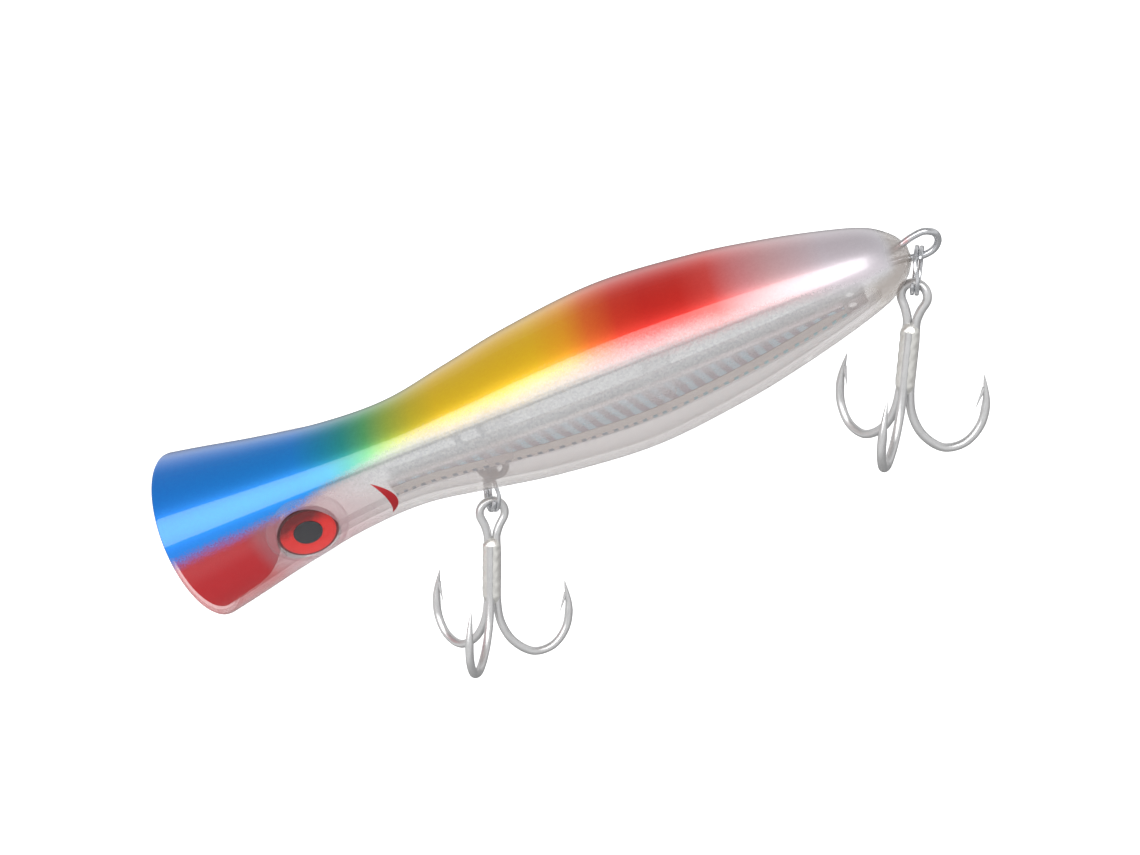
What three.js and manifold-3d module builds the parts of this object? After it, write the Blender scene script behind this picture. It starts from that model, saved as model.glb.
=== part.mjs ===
// Topwater popper: hollow clear body in two halves, cupped mouth, through-wire,
// lateral insert plates, eyes, two split rings and two treble hooks.
// Millimetres. +X runs from mouth to tail, +Z is the back, -Y is the left side.
// The origin is the centre of the line-tie loop, in the plane of the mouth rim.

import * as THREE from "three";
import { mergeVertices } from "three/addons/utils/BufferGeometryUtils.js";
import Module from "manifold-3d";

const wasm = await Module();
wasm.setup();
const { Manifold, Mesh } = wasm;
const rad = THREE.MathUtils.degToRad;
const V = (x, y, z) => new THREE.Vector3(x, y, z);

// ---- body -------------------------------------------------------------
const BODY_LENGTH = 160;
const WALL = 1.8;
const HALF_GAP = 0.1;
// stations along the axis and the outer radius at each
const STATIONS = [0, 8, 20, 35, 50, 65, 80, 100, 120, 135, 147, 154, 158, 159.5];
const RADII = [18.5, 17.0, 14.6, 12.2, 11.6, 13.8, 16.1, 17.5, 15.6, 12.8, 9.8, 7.4, 4.5, 2.4];
const CAVITY_END = 152;
const BODY_SIDES = 44;

// ---- mouth cup ----------------------------------------------------------
const CUP_BACK = [[0.3, 16.5], [3, 15.9], [6, 15.2], [9, 14.5], [11.7, 13.1], [14.2, 10.4], [16, 7],
  [16.9, 3.5]];
const CUP_FACE = [[0.3, 15.4], [4, 14.7], [8, 13.6], [10.5, 12], [12.8, 9.4], [14.6, 6], [15.5, 3]];
const CUP_HOLE = 1.0;

// ---- wire ---------------------------------------------------------------
const WIRE_R = 0.7;
const WIRE_FIT = 0.15;
const WIRE_SIDES = 10;
const TIE_LOOP_R = 2.9;
const HANGER_X = 63.4;
const HANGER_Z = -16.2;
const HANGER_R = 2.7;
const TAIL_LOOP = [[148, 0.1], [154, 1.3], [158.5, 2.3], [161.5, 3.3], [164, 3.5], [165.8, 2.1], [165.9, 0],
  [164.6, -1.7], [162.4, -2.25], [160.2, -1.8], [158, -1.2], [154, -0.9], [148, -0.1]];
const TAIL_CONTACT = [161.2, -2.2];

// ---- eyes ---------------------------------------------------------------
const EYE_X = 24.1;
const EYE_Z = -0.1;
const EYE_LEAN = 12;
const EYE_R = 6.45;
const EYE_SEAT = 11.3;
const SOCKET_R = 8.6;
const PUPIL_R = 3.05;
const DOME_LIFT = 1.05;
const DOME_RISE = 1.35;

// ---- insert plates ------------------------------------------------------
const PLATE_START = 43;
const PLATE_END = 149;
const PLATE_INNER_Y = 1.1;
const PLATE_T = 0.9;
const PLATE_HOLE = [146, -6.3];
const PLATE_HOLE_R = 1.0;
const FOIL_END = 144.2;
const FOIL_T = 0.25;
const FOIL_LIFT = 0.05;

// ---- moulded posts between the halves ------------------------------------
const POSTS = [[71, 1.5], [107, 3.6]];
const POST_R = 2.8;

// ---- split rings ----------------------------------------------------------
const RING_MEAN_R = 4.45;
const RING_RADIAL = 0.95;
const RING_COIL = 0.85;
const RING_PITCH = 0.95;
const RING_PLAY = 0.55;
// degrees of wire in the ring, where the jog between its coils lies, and where the wire starts
const RING_TURNS = 655;
const RING_JOG = [300, 355];
const RING_START = 200;

// ---- treble hooks ---------------------------------------------------------
const HOOK_R = 0.9;
const HOOK_SIDES = 10;
const EYE_LOOP_R = 2.7;
// radius from the shank axis and depth below the eye centre along one hook
const HOOK_PATH = [[1.14, 9.5], [1.14, 16], [1.2, 20], [2.1, 24.8], [4.9, 29.4], [9.6, 32.2],
  [13.9, 31.2], [16.7, 27.6], [17.4, 22.8], [16.3, 16.5]];
const POINT_LENGTH = 7.2;
const HOOK_AZIMUTHS = [5, 125, 245];

// attitude of the hanging chains: toward the nose, toward the left, turns about the shank,
// and the turn of the hook's eye against its three bends
const HANG = {
  front: { forward: 28.7, side: 30.7, ringTurn: 8.6, hookTurn: 4.9, eyeTurn: 0 },
  rear: { forward: 28.9, side: 23.5, ringTurn: -20, hookTurn: -4.1, eyeTurn: -32 },
};

// ---- helpers --------------------------------------------------------------
// closed solid from a geometry, with its shared vertices merged and flat triangles dropped
function solid(geometry) {
  geometry.deleteAttribute("normal");
  geometry.deleteAttribute("uv");
  const merged = mergeVertices(geometry, 1e-4);
  const kept = [];
  for (let i = 0; i < merged.index.count; i += 3) {
    const [a, b, c] = [0, 1, 2].map((k) => merged.index.getX(i + k));
    if (a !== b && b !== c && c !== a) kept.push(a, b, c);
  }
  const mesh = new Mesh({
    numProp: 3,
    vertProperties: new Float32Array(merged.attributes.position.array),
    triVerts: new Uint32Array(kept),
  });
  return new Manifold(mesh);
}

const smooth = (pts) => new THREE.CatmullRomCurve3(pts, false, "centripetal");

const polygon = (r, sides) => new THREE.Shape(Array.from({ length: sides }, (_, k) => {
  const a = (2 * Math.PI * (k + 0.5)) / sides;
  return new THREE.Vector2(r * Math.cos(a), r * Math.sin(a));
}));

// round rod along a curve; widthAt(i, point) narrows it at each step
function rod(curve, r, steps, sides, widthAt = null) {
  const geometry = new THREE.ExtrudeGeometry(polygon(r, sides), { steps, extrudePath: curve });
  if (widthAt) {
    const centres = curve.getSpacedPoints(steps);
    const position = geometry.getAttribute("position");
    const p = V(0, 0, 0);
    for (let i = 0; i < position.count; i += 1) {
      p.fromBufferAttribute(position, i);
      const distances = centres.map((c) => c.distanceToSquared(p));
      const nearest = distances.indexOf(Math.min(...distances));
      p.sub(centres[nearest]).multiplyScalar(widthAt(nearest, centres)).add(centres[nearest]);
      position.setXYZ(i, p.x, p.y, p.z);
    }
  }
  return solid(geometry);
}

// solid of revolution about X from [x, radius] pairs, both ends on the axis
function revolve(profile, sides = BODY_SIDES) {
  const geometry = new THREE.LatheGeometry(profile.map(([x, r]) => new THREE.Vector2(r, x)), sides);
  return solid(geometry.rotateZ(-Math.PI / 2));
}

// cylinder or cone between two points
function cylinder(from, to, r, sides = 32, endR = r) {
  const axis = to.clone().sub(from);
  const middle = from.clone().add(to).multiplyScalar(0.5);
  const geometry = new THREE.CylinderGeometry(endR, r, axis.length(), sides);
  geometry.applyQuaternion(new THREE.Quaternion().setFromUnitVectors(V(0, 1, 0), axis.normalize()));
  return solid(geometry.translate(middle.x, middle.y, middle.z));
}

function box(x0, x1, y0, y1, z0, z1) {
  const geometry = new THREE.BoxGeometry(x1 - x0, y1 - y0, z1 - z0);
  return solid(geometry.translate((x0 + x1) / 2, (y0 + y1) / 2, (z0 + z1) / 2));
}

const mirrorY = (m) => m.mirror([0, 1, 0]);

const profileCurve = new THREE.SplineCurve(STATIONS.map((x, i) => new THREE.Vector2(x, RADII[i])));
const profilePoints = profileCurve.getPoints(STATIONS.length * 2).map((p) => [p.x, p.y]);

function radiusAt(x) {
  const i = profilePoints.findIndex((p) => p[0] >= x);
  if (i <= 0) return i === 0 ? profilePoints[0][1] : 0;
  const [x0, r0] = profilePoints[i - 1];
  const [x1, r1] = profilePoints[i];
  return r0 + ((r1 - r0) * (x - x0)) / (x1 - x0);
}

const group = new THREE.Group();
group.name = "topwater_popper";

function add(name, manifold, color, roughness, metalness, opacity = 1, parent = group) {
  const mesh = manifold.getMesh();
  const geometry = new THREE.BufferGeometry();
  geometry.setAttribute("position", new THREE.BufferAttribute(new Float32Array(mesh.vertProperties), 3));
  geometry.setIndex(new THREE.BufferAttribute(new Uint32Array(mesh.triVerts), 1));
  geometry.computeVertexNormals();
  const material = new THREE.MeshStandardMaterial({ color, roughness, metalness });
  material.transparent = opacity < 1;
  material.opacity = opacity;
  const node = new THREE.Mesh(geometry, material);
  node.name = name;
  parent.add(node);
}

// ---- through-wire -----------------------------------------------------------
function wire(r) {
  const tie = solid(new THREE.TorusGeometry(TIE_LOOP_R, r, WIRE_SIDES, 24).rotateX(Math.PI / 2));
  const spine = cylinder(V(TIE_LOOP_R, 0, 0), V(151, 0, 0), r, WIRE_SIDES);
  const tail = rod(smooth(TAIL_LOOP.map(([x, z]) => V(x, 0, z))), r, 30, WIRE_SIDES);
  const bend = [];
  for (let i = 0; i <= 14; i += 1) {
    const a = Math.PI * (1 + i / 14);
    bend.push(V(HANGER_X + HANGER_R * Math.cos(a), 0, HANGER_Z + HANGER_R * (1 + Math.sin(a))));
  }
  const top = bend[0].z;
  const ends = [bend[0].x, bend[14].x];
  const path = smooth([V(ends[0], 0, top + 0.6), ...bend, V(ends[1], 0, top + 0.6)]);
  const bow = rod(path, r, 18, WIRE_SIDES);
  const legs = ends.map((x) => cylinder(V(x, 0, top + 0.3), V(x, 0, 0), r, WIRE_SIDES));
  return tie.add(spine).add(tail).add(bow).add(legs[0]).add(legs[1]);
}

// ---- eye frame --------------------------------------------------------------
const eyeNormal = V(Math.sin(rad(EYE_LEAN)), -Math.cos(rad(EYE_LEAN)), 0);
const eyePoint = (d) => V(EYE_X, 0, EYE_Z).addScaledVector(eyeNormal, d);

// turns a solid that stands on the origin along +X to stand along the eye's normal
function onEye(manifold) {
  const turn = new THREE.Quaternion().setFromUnitVectors(V(1, 0, 0), eyeNormal);
  const matrix = new THREE.Matrix4().compose(V(EYE_X, 0, EYE_Z), turn, V(1, 1, 1));
  return manifold.transform(matrix.toArray());
}

function eyeDome() {
  const base = EYE_SEAT + DOME_LIFT;
  const profile = [[base, 0], [base, EYE_R - 0.05]];
  for (let i = 0; i <= 6; i += 1) {
    const a = (Math.PI / 2) * (i / 6);
    profile.push([base + 0.3 + DOME_RISE * Math.sin(a), i === 6 ? 0 : (EYE_R - 0.05) * Math.cos(a)]);
  }
  return onEye(revolve(profile, 28));
}

// ---- shell ------------------------------------------------------------------
const cupBack = new THREE.SplineCurve(CUP_BACK.map(([x, r]) => new THREE.Vector2(x, r))).getPoints(12);
const cupFace = new THREE.SplineCurve(CUP_FACE.map(([x, r]) => new THREE.Vector2(x, r))).getPoints(12);

function shellHalf() {
  const outer = [[0, 0], ...profilePoints, [BODY_LENGTH, 0]];
  const inside = profilePoints.filter(([x]) => x < CAVITY_END);
  const end = radiusAt(CAVITY_END) - WALL;
  const cavity = [[-1, 0], [-1, RADII[0] - WALL + 0.2], ...inside.map(([x, r]) => [x, r - WALL]),
    [CAVITY_END, end], [CAVITY_END + 1.5, end * 0.6], [CAVITY_END + 2, 0]];
  const hollow = revolve(cavity);
  let body = revolve(outer).subtract(hollow);
  const socket = cylinder(eyePoint(EYE_SEAT - 1.4), eyePoint(EYE_SEAT + 4), SOCKET_R, 32);
  const solid = revolve(outer);
  body = body.add(socket.intersect(solid));
  body = body.subtract(cylinder(eyePoint(EYE_SEAT), eyePoint(EYE_SEAT + 6), EYE_R + 0.15, 32));
  POSTS.forEach(([x, z]) => {
    const post = cylinder(V(x, -1.1, z), V(x, -radiusAt(x), z), POST_R, 20);
    body = body.add(post.intersect(solid));
  });
  const half = body.intersect(box(-2, BODY_LENGTH + 2, -30, -HALF_GAP, -30, 30));
  return half.subtract(wire(WIRE_R + WIRE_FIT));
}

const shell = shellHalf();
add("shell_left", shell, 0xc9d6dd, 0.12, 0.0, 0.45);
add("shell_right", mirrorY(shell), 0xc9d6dd, 0.12, 0.0, 0.45);

// ---- mouth cup ----------------------------------------------------------------
const cupProfile = [
  ...cupBack.map((p) => [p.x, p.y]),
  [17, CUP_HOLE],
  [15.7, CUP_HOLE],
  ...cupFace.map((p) => [p.x, p.y]).reverse(),
  [cupBack[0].x, cupBack[0].y],
];
add("mouth_cup", revolve(cupProfile), 0xc22330, 0.3, 0.0);
add("through_wire", wire(WIRE_R), 0xb9bcc0, 0.25, 1.0);

// ---- insert plates and foils ----------------------------------------------------
function plateOutline(x0, x1, inset, top) {
  const lower = [];
  const upper = [];
  for (let i = 0; i <= 24; i += 1) {
    const x = x0 + ((x1 - x0) * i) / 24;
    const y = PLATE_INNER_Y + PLATE_T + FOIL_T + 0.1;
    const r = radiusAt(x) - WALL - 0.3;
    lower.push([x, -Math.sqrt(r * r - y * y) + inset]);
    upper.push([x, top(x) - inset]);
  }
  return [...lower, ...upper.reverse()];
}

const plateTop = (x) => -4.4 - 1.9 * Math.sin((Math.PI * (x - PLATE_START)) / (PLATE_END - PLATE_START));

// flat plate between two depths from an outline in the XZ plane
function slab(outline, y0, y1) {
  const shape = new THREE.Shape(outline.map(([x, z]) => new THREE.Vector2(x, z)));
  const geometry = new THREE.ExtrudeGeometry(shape, { depth: y1 - y0, bevelEnabled: false });
  return solid(geometry.rotateX(Math.PI / 2).translate(0, y1, 0));
}

const [holeX, holeZ] = PLATE_HOLE;
const plateHole = cylinder(V(holeX, -9, holeZ), V(holeX, 9, holeZ), PLATE_HOLE_R, 20);
const plateY = -PLATE_INNER_Y - PLATE_T;
const plateShape = plateOutline(PLATE_START, PLATE_END, 0, plateTop);
const plate = slab(plateShape, plateY, -PLATE_INNER_Y).subtract(plateHole);
const foilY = plateY - FOIL_LIFT;
const foil = slab(plateOutline(PLATE_START + 1, FOIL_END, 0.9, plateTop), foilY - FOIL_T, foilY);
add("insert_plate_left", plate, 0xe6e0dc, 0.3, 0.0);
add("insert_plate_right", mirrorY(plate), 0xe6e0dc, 0.3, 0.0);
add("scale_foil_left", foil, 0xcfd8e6, 0.2, 0.8);
add("scale_foil_right", mirrorY(foil), 0xcfd8e6, 0.2, 0.8);

// ---- eyes -------------------------------------------------------------------------
const iris = cylinder(eyePoint(EYE_SEAT + 0.1), eyePoint(EYE_SEAT + 0.9), EYE_R, 32);
const pupil = cylinder(eyePoint(EYE_SEAT + 0.93), eyePoint(EYE_SEAT + 1.0), PUPIL_R, 24);
const dome = eyeDome();
add("eye_iris_left", iris, 0xb3161d, 0.35, 0.3);
add("eye_iris_right", mirrorY(iris), 0xb3161d, 0.35, 0.3);
add("eye_pupil_left", pupil, 0x0a0a0b, 0.3, 0.0);
add("eye_pupil_right", mirrorY(pupil), 0x0a0a0b, 0.3, 0.0);
add("eye_dome_left", dome, 0xf3f3f3, 0.05, 0.0, 0.3);
add("eye_dome_right", mirrorY(dome), 0xf3f3f3, 0.05, 0.0, 0.3);

// ---- hanging chains -----------------------------------------------------------------
function hangFrame(chain) {
  const f = rad(chain.forward);
  const s = rad(chain.side);
  const down = V(-Math.sin(f) * Math.cos(s), -Math.sin(s), -Math.cos(f) * Math.cos(s));
  const along = V(Math.cos(f), 0, -Math.sin(f));
  const across = down.clone().negate().cross(along);
  return { down, along, across };
}

function turned(frame, degrees) {
  const a = rad(degrees);
  const x = frame.along.clone().multiplyScalar(Math.cos(a)).addScaledVector(frame.across, Math.sin(a));
  const z = frame.down.clone().negate();
  return { x, y: z.clone().cross(x), z };
}

// group whose own axes are those of a hanging piece
function chainGroup(basis, origin) {
  const hung = new THREE.Group();
  hung.quaternion.setFromRotationMatrix(new THREE.Matrix4().makeBasis(basis.x, basis.y, basis.z));
  hung.position.copy(origin);
  group.add(hung);
  return hung;
}

// two coils joined by one jog, in the local YZ plane
class RingPath extends THREE.Curve {
  getPoint(t, target = V(0, 0, 0)) {
    const turnedBy = RING_TURNS * t;
    const jog = THREE.MathUtils.smoothstep(turnedBy, ...RING_JOG);
    const a = rad(turnedBy + RING_START);
    return target.set(RING_PITCH * (jog - 0.5), RING_MEAN_R * Math.cos(a), RING_MEAN_R * Math.sin(a));
  }
}

function splitRing() {
  const corners = [[-1, -0.55], [-0.55, -1], [0.55, -1], [1, -0.55], [1, 0.55], [0.55, 1], [-0.55, 1],
    [-1, 0.55]];
  const section = corners.map(([a, b]) => new THREE.Vector2((a * RING_COIL) / 2, (b * RING_RADIAL) / 2));
  const shape = new THREE.Shape(section);
  return solid(new THREE.ExtrudeGeometry(shape, { steps: 60, extrudePath: new RingPath() }));
}

const polar = (azimuth, r, depth) => V(r * Math.cos(rad(azimuth)), r * Math.sin(rad(azimuth)), -depth);

function hookLeg(azimuth, start) {
  const curve = smooth(start.concat(HOOK_PATH.map(([r, l]) => polar(azimuth, r, l))));
  return rod(curve, HOOK_R, 34, HOOK_SIDES, (i, centres) => {
    const left = centres[i].distanceTo(centres[34]);
    if (i < 17 || left >= POINT_LENGTH) return 1;
    return 0.07 + 0.93 * Math.pow(left / POINT_LENGTH, 0.8);
  });
}

function barb(azimuth) {
  return cylinder(polar(azimuth, 16.5, 20), polar(azimuth, 15.4, 23.6), 0.34, 6, 0.05);
}

// eye loop in an upright plane through the shank, legs running down to two hooks
function hookDouble(eyeTurn) {
  const spin = (p) => p.applyAxisAngle(V(0, 0, 1), rad(eyeTurn));
  const top = [];
  for (let i = 0; i <= 12; i += 1) {
    const a = rad(-28 + (236 * i) / 12);
    top.push(spin(V(EYE_LOOP_R * Math.cos(a), 0, EYE_LOOP_R * Math.sin(a))));
  }
  const right = [spin(V(1.55, 0, -2.9)), polar(2 + eyeTurn, 0.99, 4.8)];
  const left = [spin(V(-1.55, 0, -2.9)), polar(172 + eyeTurn, 0.99, 4.8)];
  const path = smooth([left[1], left[0], ...top.slice().reverse(), right[0], right[1]]);
  const loop = rod(path, HOOK_R, 30, HOOK_SIDES);
  const first = hookLeg(HOOK_AZIMUTHS[0], [right[0], right[1]]);
  const second = hookLeg(HOOK_AZIMUTHS[1], [left[0], left[1]]);
  return loop.add(first).add(second).add(barb(HOOK_AZIMUTHS[0])).add(barb(HOOK_AZIMUTHS[1]));
}

function hookSingle() {
  const leg = hookLeg(HOOK_AZIMUTHS[2], [polar(HOOK_AZIMUTHS[2], 1.2, 7.1)]);
  return leg.add(barb(HOOK_AZIMUTHS[2]));
}

function braze(double, single) {
  const profile = [[8, 0], [8, 0.8], [9.2, 1.7], [18.6, 1.7], [20.2, 0.7], [20.2, 0]];
  const geometry = new THREE.LatheGeometry(profile.map(([l, r]) => new THREE.Vector2(r, l)), 18);
  return solid(geometry.rotateX(-Math.PI / 2)).subtract(double).subtract(single);
}

function chainParts(name, chain, contact) {
  const frame = hangFrame(chain);
  const ringBasis = turned(frame, chain.ringTurn);
  const rise = WIRE_R + RING_RADIAL / 2 + RING_PLAY;
  const ringCentre = contact.clone().addScaledVector(frame.down, RING_MEAN_R - rise);
  const ringGroup = chainGroup(ringBasis, ringCentre);
  add(`split_ring_${name}`, splitRing(), 0xc4c6c9, 0.2, 1.0, 1, ringGroup);
  const seat = RING_MEAN_R - RING_RADIAL / 2 - HOOK_R - RING_PLAY;
  const eyeCentre = ringCentre.clone().addScaledVector(frame.down, seat + EYE_LOOP_R);
  const hookBasis = turned(frame, chain.hookTurn);
  const double = hookDouble(chain.eyeTurn);
  const single = hookSingle();
  const hookGroup = chainGroup(hookBasis, eyeCentre);
  add(`hook_pair_${name}`, double, 0xb5b6b8, 0.3, 1.0, 1, hookGroup);
  add(`hook_third_${name}`, single, 0xb5b6b8, 0.3, 1.0, 1, hookGroup);
  add(`hook_braze_${name}`, braze(double, single), 0xd4d3cf, 0.35, 0.9, 1, hookGroup);
}

const lean = rad(HANG.front.forward);
const hangerContact = V(HANGER_X - HANGER_R * Math.sin(lean), 0, HANGER_Z + HANGER_R * (1 - Math.cos(lean)));
chainParts("front", HANG.front, hangerContact);
chainParts("rear", HANG.rear, V(TAIL_CONTACT[0], 0, TAIL_CONTACT[1]));

export default group;
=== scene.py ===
"""Topwater popper: clear hollow body painted along the back, red mouth cup, moulded eyes,
scale insert, through-wire, split rings and treble hooks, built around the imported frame.
Lengths are in millimetres in the frame of the part and become metres in make()."""

import math

import bmesh
import bpy
from mathutils import Matrix, Vector


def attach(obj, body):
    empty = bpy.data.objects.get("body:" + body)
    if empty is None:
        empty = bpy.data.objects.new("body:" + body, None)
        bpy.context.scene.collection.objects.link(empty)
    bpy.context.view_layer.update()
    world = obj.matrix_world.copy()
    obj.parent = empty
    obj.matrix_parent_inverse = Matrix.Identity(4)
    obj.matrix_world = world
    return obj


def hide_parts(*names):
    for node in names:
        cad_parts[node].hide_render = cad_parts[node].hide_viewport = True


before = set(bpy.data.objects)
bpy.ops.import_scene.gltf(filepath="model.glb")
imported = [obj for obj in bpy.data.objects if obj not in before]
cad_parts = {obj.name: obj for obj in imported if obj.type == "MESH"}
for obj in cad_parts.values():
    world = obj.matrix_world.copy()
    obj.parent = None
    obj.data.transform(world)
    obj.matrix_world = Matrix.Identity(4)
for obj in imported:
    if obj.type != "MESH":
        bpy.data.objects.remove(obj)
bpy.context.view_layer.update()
MM = 0.001
SIDES = ((-1, "left"), (1, "right"))

# ---- dimensions, repeated from the part's own source ------------------------
BODY_LENGTH = 160
WALL = 1.8
STATIONS = [0, 8, 20, 35, 50, 65, 80, 100, 120, 135, 147, 154, 158, 159.5]
RADII = [18.5, 17.0, 14.6, 12.2, 11.6, 13.8, 16.1, 17.5, 15.6, 12.8, 9.8, 7.4, 4.5, 2.4]
CAVITY_END = 152
CUP_BACK = [(0.3, 16.5), (3, 15.9), (6, 15.2), (9, 14.5), (11.7, 13.1), (14.2, 10.4), (16, 7), (16.9, 3.5)]
CUP_FACE = [(0.3, 15.4), (4, 14.7), (8, 13.6), (10.5, 12), (12.8, 9.4), (14.6, 6), (15.5, 3)]
CUP_RIM = [(0.12, 15.6), (0.02, 15.95), (0.12, 16.3)]
CUP_HOLE = 1.0
WIRE_R = 0.7
WIRE_END = 151
TIE_LOOP_R = 2.9
HANGER_X, HANGER_Z, HANGER_R = 63.4, -16.2, 2.7
TAIL_LOOP = [(148, 0.1), (154, 1.3), (158.5, 2.3), (161.5, 3.3), (164, 3.5), (165.8, 2.1), (165.9, 0),
             (164.6, -1.7), (162.4, -2.25), (160.2, -1.8), (158, -1.2), (154, -0.9), (148, -0.1)]
TAIL_CONTACT = Vector((161.2, 0, -2.2))
EYE_CENTRE = Vector((24.1, 0, -0.1))
EYE_LEAN = 12
EYE_R = 6.45
EYE_SEAT = 11.3
SOCKET_R = 8.6
PUPIL_R = 3.05
DOME_BASE = EYE_SEAT + 1.05
DOME_RISE = 1.5
PLATE_START, PLATE_END = 43, 149
PLATE_INNER_Y, PLATE_T = 1.1, 0.9
PLATE_HOLE, PLATE_HOLE_R = (146, -6.3), 1.0
FOIL_END, FOIL_T, FOIL_LIFT = 144.2, 0.25, 0.05
POSTS = [(71, 1.5), (107, 3.6)]
POST_R = 2.8
RING_MEAN_R, RING_RADIAL, RING_COIL, RING_PITCH, RING_PLAY = 4.45, 0.95, 0.85, 0.95, 0.55
RING_TURNS, RING_JOG, RING_START = 655, (300, 355), 200
HOOK_R = 0.9
HOOK_EYE_R = 2.7
HOOK_EYE_START, HOOK_EYE_SPAN = -28, 236
# each hook runs along (distance from the shank's axis, depth below the eye) pairs
HOOK_PATH = [(1.14, 9.5), (1.14, 16), (1.2, 20), (2.1, 24.8), (4.9, 29.4), (9.6, 32.2),
             (13.9, 31.2), (16.7, 27.6), (17.4, 22.8), (16.3, 16.5)]
BARB_PATH = [(16.6, 19.4), (16.2, 20.9), (15.75, 22.3), (15.4, 23.6)]
NECK_HALF, NECK_DEPTH = 1.55, 2.9
LEG_TOP = (0.99, 4.8)
LEG_TURNS = (2, 172)
THIRD_TOP = (1.2, 7.1)
POINT_LENGTH = 7.2
HOOK_AZIMUTHS = (5, 125, 245)
HANG = {
    "front": {"forward": 28.7, "side": 30.7, "ring": 8.6, "hook": 4.9, "eye": 0},
    "rear": {"forward": 28.9, "side": 23.5, "ring": -20, "hook": -4.1, "eye": -32},
}

# ---- fine detail of the visible surfaces --------------------------------------
WELD = 1e-7
SHARP_ANGLE = 38
POLE_R = 1e-4
ROUND_SIDES = 20
SHELL_COLUMNS, SHELL_ROWS = 64, 170
# the mouth's rounded lip: place along the body, how far the outside is drawn in, and the wall there
LIP = [(0.0, 0.62, 1.45), (0.08, 0.3, 1.6), (0.3, 0.08, WALL), (0.7, 0.0, WALL)]
LIP_END, TIP_START = 0.9, BODY_LENGTH - 0.5
CAVITY_TAPER, THINNEST_WALL, TAIL_BORE = 1.6, 0.6, 0.9
TAIL_TIP = [(BODY_LENGTH - 0.15, 1.9), (BODY_LENGTH, 1.3)]
PLATE_BEVEL = 0.12
STRIP_TOP_LINE, STRIP_BAND = 0.7, 2.7
EYE_SIDES, BORDER_BANDS = 96, 4
RING_ROWS, RING_SIDES, RING_SQUARENESS = 260, 16, 0.6
BARB_R, BARB_TIP_R, BARB_STEP, BARB_SIDES = 0.42, 0.08, 0.3, 12
BRAZE_TOP, BRAZE_LENGTH, BRAZE_ROWS, BRAZE_SIDES = 5.4, 15.2, 48, 36
BRAZE_END_R, BRAZE_FILL, BRAZE_LOBE, BRAZE_RIPPLE = 0.4, 1.5, 0.12, 0.05

# ---- paint and look, places in millimetres from the mouth ---------------------
PAINT = [
    (0, (2, 112, 205)), (30, (0, 118, 200)), (36, (0, 124, 165)), (41, (25, 134, 130)),
    (46, (75, 152, 92)), (51, (140, 163, 58)), (57, (186, 168, 28)), (63, (211, 173, 12)),
    (86, (220, 171, 8)), (93, (224, 148, 16)), (98, (216, 96, 24)), (104, (203, 45, 18)),
    (110, (197, 27, 12)), (117, (198, 30, 18)), (123, (207, 62, 56)), (128, (204, 116, 118)),
    (135, (198, 152, 155)), (145, (192, 180, 187)), (160, (184, 182, 188)),
]
PAINT_GAIN = 1.25
# share of the way along, and the share of a right angle at which the spray starts and is full
SPRAY_START = [(0, 0.24), (0.17, 0.27), (0.25, 0.36), (0.32, 0.42), (0.5, 0.43), (0.66, 0.42),
               (0.76, 0.38), (0.86, 0.34), (0.95, 0.2)]
SPRAY_FULL = [(0, 0.4), (0.17, 0.42), (0.25, 0.54), (0.32, 0.66), (0.5, 0.7), (0.66, 0.68),
              (0.76, 0.62), (0.86, 0.55), (0.95, 0.42)]
# how far the spray's edge wanders in degrees, finely and broadly
SPRAY_GRAIN, SPRAY_WANDER = 9, 10
HAZE_ANGLES, BELLY_ANGLES = (6.0, 32.0), (-24.0, -14.0)
# stretches of the body over which each look changes into the next
RED_HEAD_ENDS, PINK_HEAD_ENDS, TAIL_TINT_STARTS, PAINT_ENDS = (15, 20), (26, 50), (148, 152), (154.5, 157.5)
HEAD_ALPHA_ENDS, TAIL_ALPHA_STARTS = (14, 20), (148, 153)
HEAD_RED, HEAD_PINK, FLANK_TINT, TAIL_TINT = (186, 26, 36), (188, 112, 122), (186, 178, 176), (164, 154, 146)
PEARL_DARK, PEARL_LIGHT, GILL_RED = (176, 178, 180), (196, 197, 198), (180, 8, 24)
GILL_X, GILL_SPAN, GILL_BOW, GILL_HALF, GILL_EDGE = 46.2, 26.0, 2.6, 1.05, 0.12
BELLY_ALPHA, SIDE_ALPHA, HEAD_ALPHA = 0.55, 0.36, 0.62
PEARL_ALPHA, TAIL_ALPHA, RIM_ALPHA = 0.7, 0.6, 0.75
DASH_PITCH, SCALE_PITCH, SCALE_SLANT = 2.3, 3.3, 0.35

# ---- studio, in metres and degrees ----------------------------------------------
FLOOR_Z, FLOOR_HALF, FLOOR_GLOW = -0.25, 4, 0.9
# the room's brightness by height, from straight down to straight up
ROOM_LEVELS = [(0.0, 0.14), (0.3, 0.3), (0.48, 0.85), (0.62, 0.7), (0.8, 0.3), (1.0, 0.22)]
LIGHT_AIM = Vector((0.082, 0, -0.004))
CAMERA_PLACE = Vector((0.1709, -0.2727, 0.2499))
CAMERA_RIGHT = Vector((0.9067, -0.0983, -0.4102))
CAMERA_BACK = Vector((0.2281, -0.7038, 0.6728))
CAMERA_SENSOR, CAMERA_LENS = 36, 59
CLEAR_LAYERS = 32


# ---- curves -------------------------------------------------------------------
def cubic(a, b, c, d, t):
    """Catmull-Rom value at share t of the span from b to c."""
    square = 2 * a - 5 * b + 4 * c - d
    cube = 3 * b - a - 3 * c + d
    return 0.5 * (2 * b + (c - a) * t + square * t * t + cube * t ** 3)


def catmull(points, per_span):
    """Uniform Catmull-Rom through every point."""
    out = []
    last = len(points) - 1
    for i in range(last):
        near = [points[max(0, min(last, i + k))] for k in (-1, 0, 1, 2)]
        for s in range(per_span):
            out.append(tuple(cubic(*values, s / per_span) for values in zip(*near)))
    out.append(tuple(points[-1]))
    return out


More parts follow.
